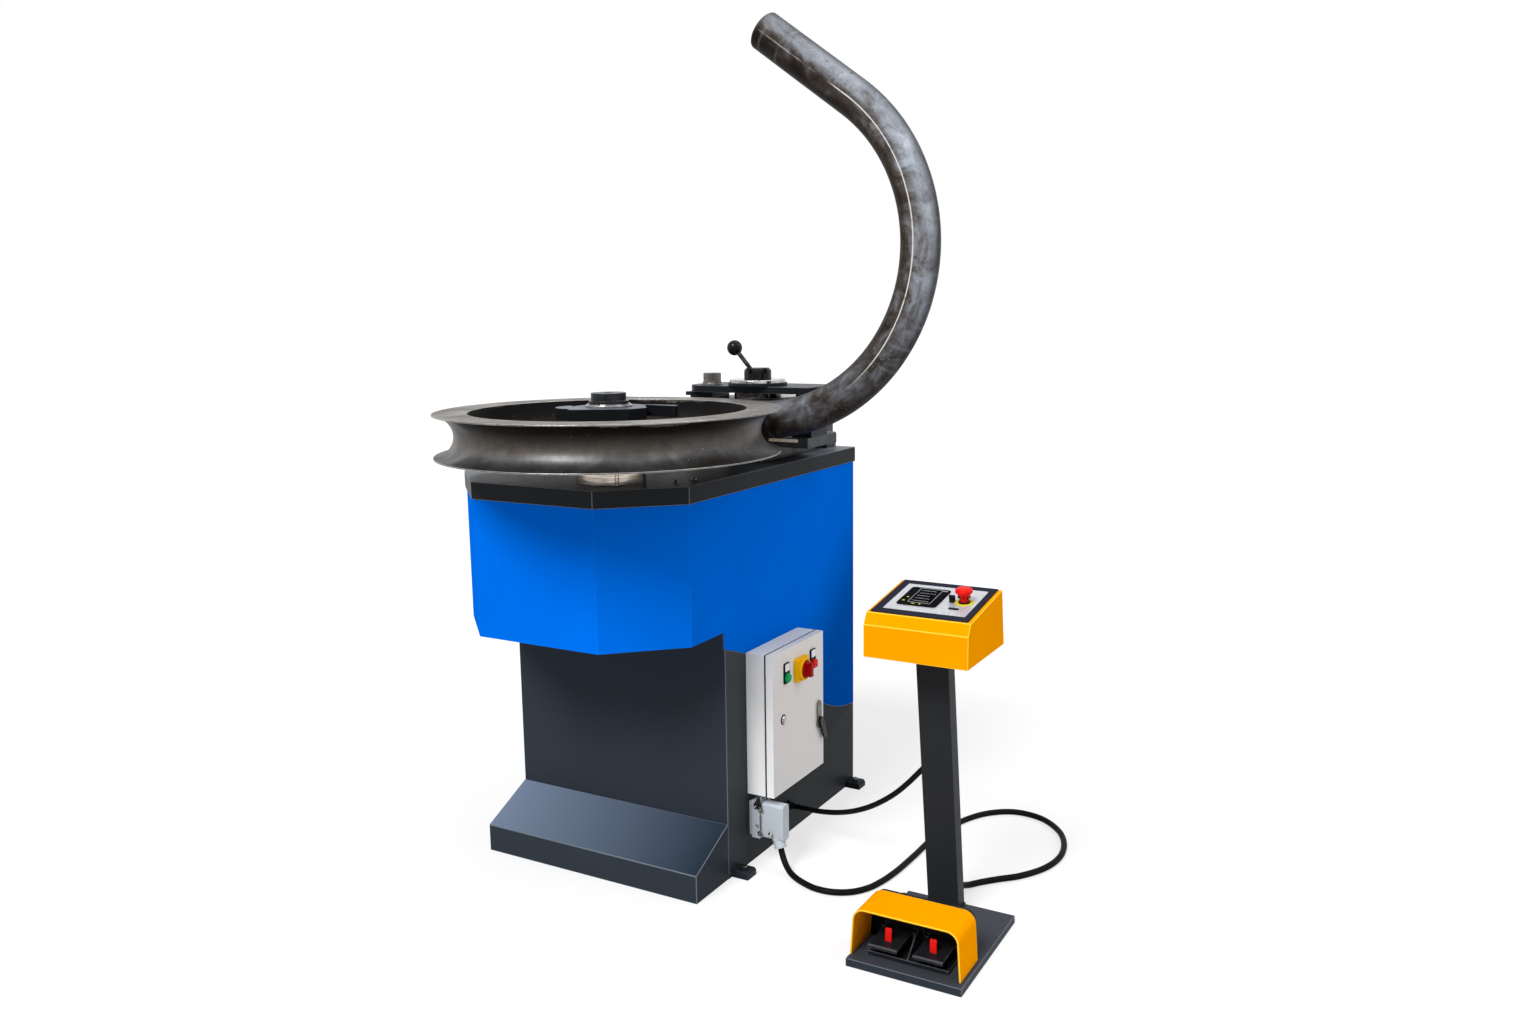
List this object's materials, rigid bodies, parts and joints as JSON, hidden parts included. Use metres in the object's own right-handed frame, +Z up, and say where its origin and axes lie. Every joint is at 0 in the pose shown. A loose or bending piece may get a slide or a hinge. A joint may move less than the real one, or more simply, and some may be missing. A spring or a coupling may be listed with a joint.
{
  "type": "pipe bending machine",
  "caption": "Floor standing rotary pipe bending machine: grooved former and counter roller on a cabinet table, pipe being bent, electric enclosure, console with guarded foot pedals.",
  "frame": {"origin": "centre of the column's rectangular footprint, on the floor", "axes": "+Z up, -Y toward the operator's side where the head overhangs, +X toward the electric enclosure and the console"},
  "size_m": [1.5128, 1.4193, 2.2736],
  "materials": {
    "blue_paint": "gloss",
    "anthracite_paint": "satin",
    "black_steel": "satin",
    "raw_steel": "worn raw steel",
    "polished_steel": "polished",
    "black_oxide": "black oxide",
    "dark_iron": "cast",
    "grey_paint": "satin",
    "orange_paint": "gloss",
    "red_plastic": "gloss",
    "green_plastic": "gloss",
    "yellow_plastic": "satin",
    "connector_metal": "painted cast",
    "black_plastic": "matte",
    "cable_sheath": "matte"
  },
  "bodies": {
    "machine": {"base_frame": "anthracite_paint", "column_shell": "anthracite_paint", "head_shell": "blue_paint", "top_plate": "black_steel", "toe_box": "anthracite_paint", "rear_panel": "anthracite_paint", "spindle_housing": "polished_steel", "spindle_bearing_lower": "polished_steel", "spindle_bearing_upper": "polished_steel", "gearbox": "dark_iron", "motor": "dark_iron", "slide_way": "dark_iron", "screw_block": "dark_iron", "enclosure_body": "grey_paint", "door_hinge_pin": "dark_iron", "connector_socket": "connector_metal", "connector_hood": "connector_metal", "cable_foot": "cable_sheath", "cable_console": "cable_sheath", "cable_gland": "black_plastic", "console_foot_plate": "anthracite_paint", "console_post": "anthracite_paint", "console_box": "orange_paint", "control_panel": "black_steel", "pedal_bed": "black_plastic", "pedal_guard": "orange_paint"},
    "former": {"former_wheel": "raw_steel", "drive_arm": "black_oxide", "spindle_washer": "polished_steel", "spindle_nut": "black_oxide", "spindle": "polished_steel", "drive_gear": "raw_steel"},
    "pinion_shaft": {"pinion": "raw_steel"},
    "pipe": {"workpiece_pipe": "raw_steel"},
    "carriage": {"carriage_base": "dark_iron", "bridge_post_left": "black_steel", "bridge_post_right": "black_steel", "bridge_plate": "black_steel", "roller_pin": "polished_steel", "bridge_bolt": "black_oxide"},
    "roller": {"counter_roller": "polished_steel"},
    "lever": {"clamp_lever": "black_oxide", "lever_ball": "black_plastic"},
    "thrust": {"thrust_screw": "raw_steel"},
    "side_clamp": {"side_screw": "black_oxide"},
    "door": {"enclosure_door": "grey_paint", "main_switch_plate": "yellow_plastic", "door_plug": "polished_steel", "door_handle": "polished_steel"},
    "switch": {"main_switch_handle": "red_plastic"},
    "start": {"start_button": "green_plastic"},
    "stop": {"stop_button": "red_plastic"},
    "key": {"door_key": "black_oxide"},
    "bail": {"connector_lever": "polished_steel"},
    "estop": {"estop_button": "red_plastic"},
    "selector": {"selector_knob": "black_plastic"},
    "left_pedal": {"pedal_left": "black_plastic"},
    "right_pedal": {"pedal_right": "black_plastic"},
    "left_latch": {"pedal_latch_left": "red_plastic"},
    "right_latch": {"pedal_latch_right": "red_plastic"}
  },
  "joints": [
    {"name": "former_turn", "type": "hinge", "parent": "machine", "child": "former", "pos_m": [0.126, -0.564, 1.223], "axis": [0, 0, 1], "continuous": true},
    {"name": "pinion_turn", "type": "hinge", "parent": "machine", "child": "pinion_shaft", "pos_m": [0.126, -0.3965, 0.88], "axis": [0, 0, 1], "continuous": true},
    {"name": "pipe_feed", "type": "slide", "parent": "machine", "child": "pipe", "axis": [1, 0, 0], "range_m": [0, 0.2]},
    {"name": "carriage_slide", "type": "slide", "parent": "machine", "child": "carriage", "axis": [0, 1, 0], "range_m": [0, 0.08]},
    {"name": "roller_spin", "type": "hinge", "parent": "carriage", "child": "roller", "pos_m": [0.24, -0.009, 1.2235], "axis": [0, 0, 1], "continuous": true},
    {"name": "lever_turn", "type": "hinge", "parent": "carriage", "child": "lever", "pos_m": [0.24, -0.009, 1.33], "axis": [0, 0, 1], "range_deg": [-40, 60]},
    {"name": "thrust_turn", "type": "hinge", "parent": "machine", "child": "thrust", "pos_m": [0.24, 0.37, 1.151], "axis": [0, 1, 0], "range_deg": [-60, 2960]},
    {"name": "side_screw_turn", "type": "hinge", "parent": "carriage", "child": "side_clamp", "pos_m": [0.43, -0.009, 1.29735], "axis": [1, 0, 0], "range_deg": [-180, 180]},
    {"name": "door_swing", "type": "hinge", "parent": "machine", "child": "door", "pos_m": [0.4095, -0.289, 0.4065], "axis": [0, 0, -1], "range_deg": [0, 120]},
    {"name": "switch_turn", "type": "hinge", "parent": "door", "child": "switch", "pos_m": [0.45, -0.136, 0.534], "axis": [1, 0, 0], "range_deg": [0, 90]},
    {"name": "start_press", "type": "slide", "parent": "door", "child": "start", "axis": [-1, 0, 0], "range_m": [0, 0.004], "stiffness_N_per_m": 800},
    {"name": "stop_press", "type": "slide", "parent": "door", "child": "stop", "axis": [-1, 0, 0], "range_m": [0, 0.004], "stiffness_N_per_m": 800},
    {"name": "key_turn", "type": "hinge", "parent": "door", "child": "key", "pos_m": [0.44, -0.022, 0.35], "axis": [1, 0, 0], "range_deg": [0, 90]},
    {"name": "bail_swing", "type": "hinge", "parent": "machine", "child": "bail", "pos_m": [0.374, -0.265, 0.172], "axis": [0, -1, 0], "range_deg": [0, 50]},
    {"name": "estop_press", "type": "slide", "parent": "machine", "child": "estop", "axis": [0, 0.151, -0.9885], "range_m": [0, 0.005], "stiffness_N_per_m": 1500},
    {"name": "selector_turn", "type": "hinge", "parent": "machine", "child": "selector", "pos_m": [0.976, -0.393, 0.83389], "axis": [0, -0.151, 0.9885], "range_deg": [-45, 45]},
    {"name": "left_pedal_press", "type": "hinge", "parent": "machine", "child": "left_pedal", "pos_m": [0.901, -0.52, 0.05], "axis": [1, 0, 0], "range_deg": [0, 8], "stiffness_Nm_per_rad": 20, "springref_deg": -5.73},
    {"name": "right_pedal_press", "type": "hinge", "parent": "machine", "child": "right_pedal", "pos_m": [1.013, -0.52, 0.05], "axis": [1, 0, 0], "range_deg": [0, 8], "stiffness_Nm_per_rad": 20, "springref_deg": -5.73},
    {"name": "left_latch_push", "type": "hinge", "parent": "machine", "child": "left_latch", "pos_m": [0.901, -0.584, 0.034], "axis": [-1, 0, 0], "range_deg": [0, 12], "stiffness_Nm_per_rad": 0.3, "springref_deg": -5.73},
    {"name": "right_latch_push", "type": "hinge", "parent": "machine", "child": "right_latch", "pos_m": [1.013, -0.584, 0.034], "axis": [-1, 0, 0], "range_deg": [0, 12], "stiffness_Nm_per_rad": 0.3, "springref_deg": -5.73}
  ],
  "couplings": [
    {"joint": "pinion_turn", "follows": "former_turn", "ratio": -3.4667},
    {"joint": "thrust_turn", "follows": "carriage_slide", "rad_per_m": 628.32}
  ]
}
